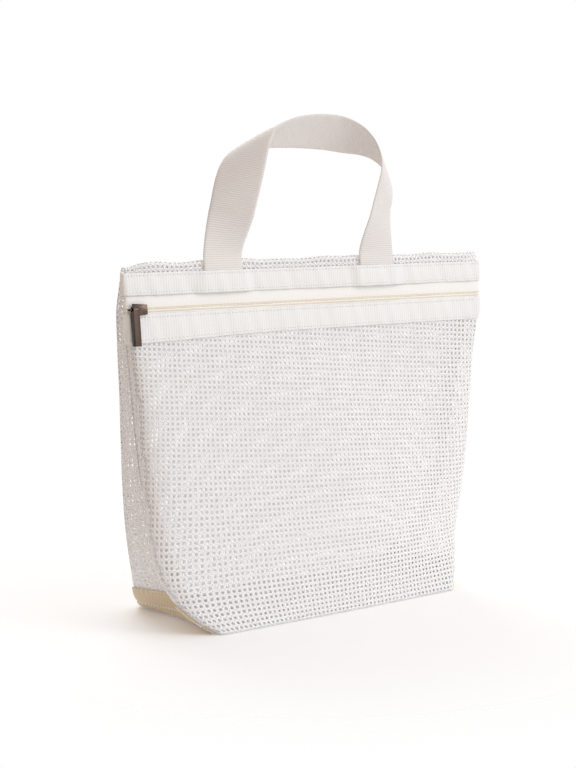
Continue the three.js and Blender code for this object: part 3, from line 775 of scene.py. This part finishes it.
# Sewing thread: bright white with a slight sheen, so that each stitch catches the light.
thread, thread_tree, thread_surface, thread_coords = new_material(
    "thread_spun_white", Roughness=0.55, Sheen_Weight=0.3)
thread_place = {"Vector": (thread_coords, "Object")}
thread_grain = (node(thread_tree, "ShaderNodeTexNoise", {"Scale": grain_scale(0.83)}, thread_place), "Fac")
tint_and_bump(thread_tree, thread_surface, thread_grain, "efeeea", "fbfaf7", thread_grain, 0.3, 0.1)


def pucker(x, z):
    """The small waves that the stitches draw in a ribbon."""
    fine = 0.22 * np.sin(x / 2.1 + z / 5) * np.sin(x / 9)
    return fine + 0.2 * np.sin(x / 7 + z / 9) + 0.25 * np.sin(x / 27)


def over_strap(x, z):
    """How far the upper ribbon stands off the net: puckered, and raised over the handle's ends."""
    rise = pucker(x, z)
    for leg in LEG_CENTRES:
        rise = rise + 1.7 * (1 - smooth_step(np.abs(x - leg), STRAP_HALF + 0.2, STRAP_HALF + 10))
    return rise


def lower_drop(x):
    """How far the lower ribbon's lower edge droops: most at the left end."""
    return 1.0 + 2.6 * smooth_step(-x, 20, 150)


def ribbon_profile(foot, head, flare):
    """A ribbon's section: a flat back, and a front with a groove along each row of stitches."""
    front = RIBBON_OFF + RIBBON_THICKNESS
    return [
        (head, RIBBON_OFF, 0),
        (foot, RIBBON_OFF + flare, 1),
        (foot, front - GROOVE + flare, 1),
        (foot + 0.5, front + flare, 1),
        (foot + STITCH_IN, front - GROOVE, 0.9),
        (foot + 3.4, front + 0.1, 0.8),
        ((foot + head) / 2, front + 0.15, 0.5),
        (head - 3.4, front + 0.1, 0.2),
        (head - STITCH_IN, front - GROOVE, 0.1),
        (head - 0.5, front, 0),
        (head, front - GROOVE, 0),
    ]


def sewn_stitches(name, rows):
    """Rows of thread stitches, each a small boat that is pointed at both ends."""
    points = []
    for spots, ahead, out, (length, wide, high) in rows:
        aside = np.cross(out, ahead)
        tips = [ahead * length / 2, aside * wide / 2, -ahead * length / 2, -aside * wide / 2]
        tips += [out * high, -out * high / 2]
        points.append(np.stack([spots + tip for tip in tips], 1).reshape(-1, 3))
    points = np.concatenate(points)
    boat = np.array([[0, 1, 4], [1, 2, 4], [2, 3, 4], [3, 0, 4], [1, 0, 5], [2, 1, 5], [3, 2, 5], [0, 3, 5]])
    faces = boat[None] + np.arange(len(points) // 6)[:, None, None] * 6
    return make_object(name, points, [faces.reshape(-1, 3)], thread)


def front_stitches(name, heights, lift, drop=None):
    """Rows of stitches along the front, each at a height and with a share of the drop."""
    rows = []
    for z, share in heights:
        along = np.arange(STITCH_END, FRONT_RUN - STITCH_END, STITCH_PITCH) / FRONT_RUN
        spots, out = front_line(z, along, drop, share)
        spots = spots + out * (STITCH_OFF + lift(spots[:, 0], z))[:, None]
        rows.append((spots, np.cross(out, (0, 0, -1)), out, STITCH_SIZE))
    return sewn_stitches(name, rows)


upper_profile = ribbon_profile(UPPER_FOOT, UPPER_TOP, 0.2)
lower_profile = ribbon_profile(LOWER_FOOT, LOWER_TOP, 0.0)
upper_ribbon = along_front("upper_ribbon", upper_profile, ribbon, over_strap)
lower_ribbon = along_front("lower_ribbon", lower_profile, ribbon, pucker, lower_drop)
upper_rows = [(UPPER_FOOT + STITCH_IN, 0), (UPPER_TOP - STITCH_IN, 0)]
lower_rows = [(LOWER_FOOT + STITCH_IN, 0.9), (LOWER_TOP - STITCH_IN, 0.1)]
upper_stitches = front_stitches("upper_ribbon_stitches", upper_rows, over_strap)
lower_stitches = front_stitches("lower_ribbon_stitches", lower_rows, pucker, lower_drop)
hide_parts("ribbon_upper")
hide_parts("ribbon_lower")
for piece in (upper_ribbon, lower_ribbon, upper_stitches, lower_stitches):
    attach(piece, "bag")

# Side binding: each side seam's raw edges are folded into a narrow tape that stands inside the bag.
# Undyed cotton tape: cream and matt, with a fine rib across it, and pale enough to be lost behind the net.
cotton = ribbed_cloth("binding_undyed_cotton", "eee8dc", "f6f1e8", rib_mm=1.0, lay="Z", uneven=1.0,
                      roughness=0.8, relief=0.3, relief_mm=0.2)
SIDE_BINDING_FOOT = 10.0
SIDE_BINDING_HEAD = 192.0
BINDING_FOLD = [(0.9, -1.2), (5.0, -1.25), (8.0, -1.1), (8.9, 0), (8.0, 1.1), (5.0, 1.25), (0.9, 1.2),
                (0.9, 0.5), (5.0, 0.55), (7.6, 0.45), (8.1, 0), (7.6, -0.45), (5.0, -0.55), (0.9, -0.5)]
SIDES = (("left", -1, net_side_left), ("right", 1, net_side_right))

for name, side, wall in SIDES:
    rings = []
    for z in np.linspace(SIDE_BINDING_FOOT, SIDE_BINDING_HEAD, 70):
        seam = section(z, -1)[0 if side < 0 else -1, 0]
        sway = 0.5 * math.sin(z / 9)
        rings.append([(seam - side * deep, y + sway * deep / 9, z) for deep, y in BINDING_FOLD[::side]])
    fin = swept("side_binding_" + name + "_tape", rings, cotton)
    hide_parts("side_binding_" + name)
    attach(fin, "bag")

# Corner binding: a wider tape across the foot of each side wall, folded over the seam of the boxed corner.
# It follows the tuck in the wall. A thick row of stitches pinches it along the seam, between a wide upper
# leaf and a narrow lower one. Cotton twill tape: beige and matt, with a diagonal rib.
binding = ribbed_cloth("binding_twill", "d4c3a6", "ddceb5", rib_mm=0.9, lay="DIAGONAL", uneven=1.0,
                       roughness=0.8, relief=0.4, relief_mm=0.2)
CORNER_HEIGHTS = [1.7, 2.1, 3.6, 5.0, 5.8, 6.4, 7.0, 7.8, 10.0, 13.0, 16.0, 18.4, 19.0]
CORNER_OFFS = [1.1, 1.4, 1.6, 1.5, 1.2, 1.0, 1.2, 1.5, 1.7, 1.8, 1.7, 1.6, 1.3]
CORNER_INNER = 0.75
CORNER_SHARE = 0.94
CORNER_STITCH_PITCH = 3.0
EDGE_ROW = (11, (2.2, 0.7, 0.3))
SEAM_ROW = (5, (3.0, 2.2, 1.3))


def side_line(side, z, share):
    """Points of a side wall at a height, from near the front corner round to near the back one."""
    halves = []
    for facing in (-1, 1):
        line = section(z, facing)[::-side]
        run = SAMPLES * depth_at(z) / (2 * depth_at(z) + 2 * width_at(z)) * share
        at = np.linspace(0, run, 24)
        halves.append(points_at(at, np.arange(SAMPLES), line))
    return np.concatenate([halves[0][::-1], halves[1][1:]])


for name, side, wall in SIDES:
    grid = np.stack([side_line(side, z, CORNER_SHARE) for z in CORNER_HEIGHTS])
    out = normals(grid)
    out = out * np.sign((out[..., 0] * side).mean())
    face = grid + out * np.array(CORNER_OFFS)[:, None, None]
    rings = np.concatenate([face, (grid + out * CORNER_INNER)[::-1]]).transpose(1, 0, 2)
    tape = swept("corner_binding_" + name + "_tape", rings[::-side], binding)
    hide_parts("corner_binding_" + name)
    rows = []
    for row, size in (EDGE_ROW, SEAM_ROW):
        line = face[row]
        run = lengths_along(line)
        at = np.arange(CORNER_STITCH_PITCH / 2, run[-1] - 1, CORNER_STITCH_PITCH)
        steps = (line, np.gradient(line, axis=0), out[row])
        spots, ahead, away = [points_at(at, run, v) for v in steps]
        rows.append((spots, unit(ahead), away, size))
    stitches = sewn_stitches("corner_stitches_" + name, rows)
    for piece in (tape, stitches):
        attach(piece, "bag")

# Floor: a sheet of paper under the bag, which fades out round it, so that only the bag's shadow shows.
# Uncoated paper: white and matt.
FLOOR_HALF = 1500.0
FLOOR_BELOW = 0.4
paper, paper_tree, paper_surface, paper_coords = new_material(
    "floor_paper", Roughness=0.9, Base_Color=linear("fcfcfc"))
away = node(paper_tree, "ShaderNodeVectorMath", {"operation": "LENGTH"}, {0: (paper_coords, "Object")})
fade = {"From Min": 0.1, "From Max": 0.36, "interpolation_type": "SMOOTHSTEP"}
paper_fade = node(paper_tree, "ShaderNodeMapRange", fade, {"Value": (away, "Value")})
clear = node(paper_tree, "ShaderNodeBsdfTransparent")
paper_layers = {0: (paper_fade, "Result"), 1: (paper_surface, "BSDF"), 2: (clear, "BSDF")}
paper_mix = node(paper_tree, "ShaderNodeMixShader", {}, paper_layers)
paper_tree.links.new(paper_mix.outputs["Shader"], paper_tree.nodes["Material Output"].inputs["Surface"])
square = np.array([[-1, -1, 0], [1, -1, 0], [1, 1, 0], [-1, 1, 0]]) * FLOOR_HALF - (0, 0, FLOOR_BELOW)
floor = make_object("floor", square, [np.array([[0, 1, 2, 3]])], paper)

# Light: a white room, brighter at the right and above and dim and warm at the left, with large soft lights
# on the right, in front and behind. What the camera and shiny things see of the room is plain white.
world = bpy.data.worlds.new("studio")
bpy.context.scene.world = world
world.use_nodes = True
sky = world.node_tree
sky.nodes.clear()
direction = node(sky, "ShaderNodeTexCoord")
towards = {"operation": "DOT_PRODUCT", 1: (0.85, -0.15, 0.5)}
facing_key = node(sky, "ShaderNodeVectorMath", towards, {0: (direction, "Generated")})
whole_room = {"From Min": -1.0, "From Max": 1.0}
brightness = node(sky, "ShaderNodeMapRange", whole_room, {"Value": (facing_key, "Value")})
walls = node(sky, "ShaderNodeValToRGB", {}, {"Fac": (brightness, "Result")})
walls.color_ramp.elements[0].color = linear("b8a595")
walls.color_ramp.elements[1].color = linear("ffffff")
path = node(sky, "ShaderNodeLightPath")
direct = {0: (path, "Is Camera Ray"), 1: (path, "Is Glossy Ray")}
seen = node(sky, "ShaderNodeMath", {"operation": "MAXIMUM"}, direct)
through = {0: (seen, "Value"), 1: (path, "Is Transmission Ray")}
shown = node(sky, "ShaderNodeMath", {"operation": "MAXIMUM"}, through)
room = node(sky, "ShaderNodeBackground", {"Strength": 1.02}, {"Color": (walls, "Color")})
white = node(sky, "ShaderNodeBackground", {"Color": (1, 1, 1, 1), "Strength": 1.0})
sky_layers = {0: (shown, "Value"), 1: (room, "Background"), 2: (white, "Background")}
sky_mix = node(sky, "ShaderNodeMixShader", {}, sky_layers)
node(sky, "ShaderNodeOutputWorld", {}, {"Surface": (sky_mix, "Shader")})


def area_light(name, place, size, power, colour):
    """A square soft light that faces the middle of the bag."""
    data = bpy.data.lights.new(name, "AREA")
    data.size = size
    data.energy = power
    data.color = linear(colour)[:3]
    made = bpy.data.objects.new(name, data)
    made.location = place
    aim = np.array([0, 0, 0.15]) - np.array(place)
    tip = math.atan2(math.hypot(aim[0], aim[1]), -aim[2])
    made.rotation_euler = (tip, 0, math.atan2(aim[1], aim[0]) - math.pi / 2)
    bpy.context.scene.collection.objects.link(made)


area_light("key", (1.0, -1.4, 1.3), 1.0, 8.5, "f8faff")
area_light("front", (0.5, -2.0, 0.6), 1.4, 3.6, "f2f6ff")
area_light("back", (0.4, 1.3, 0.9), 1.2, 10.0, "ffffff")

# Camera: in front and to the left of the bag, a little above it, at the photograph's angle. Its angle of
# view comes from the picture's height and the focal length in pixels.
IMAGE_HEIGHT = 768
FOCAL_PIXELS = 1667.5
CAMERA_PLACE = (-0.7107, -0.9193, 0.2875)
LOOKS_DOWN = 6.619
TURNED_RIGHT = 37.304
camera_data = bpy.data.cameras.new("camera")
camera_data.sensor_fit = "VERTICAL"
camera_data.angle = 2 * math.atan(IMAGE_HEIGHT / 2 / FOCAL_PIXELS)
camera = bpy.data.objects.new("camera", camera_data)
camera.location = CAMERA_PLACE
camera.rotation_euler = (math.radians(90 - LOOKS_DOWN), 0, math.radians(-TURNED_RIGHT))
bpy.context.scene.collection.objects.link(camera)
bpy.context.scene.camera = camera
bpy.context.scene.view_settings.view_transform = "Standard"
bpy.context.scene.cycles.diffuse_bounces = 10
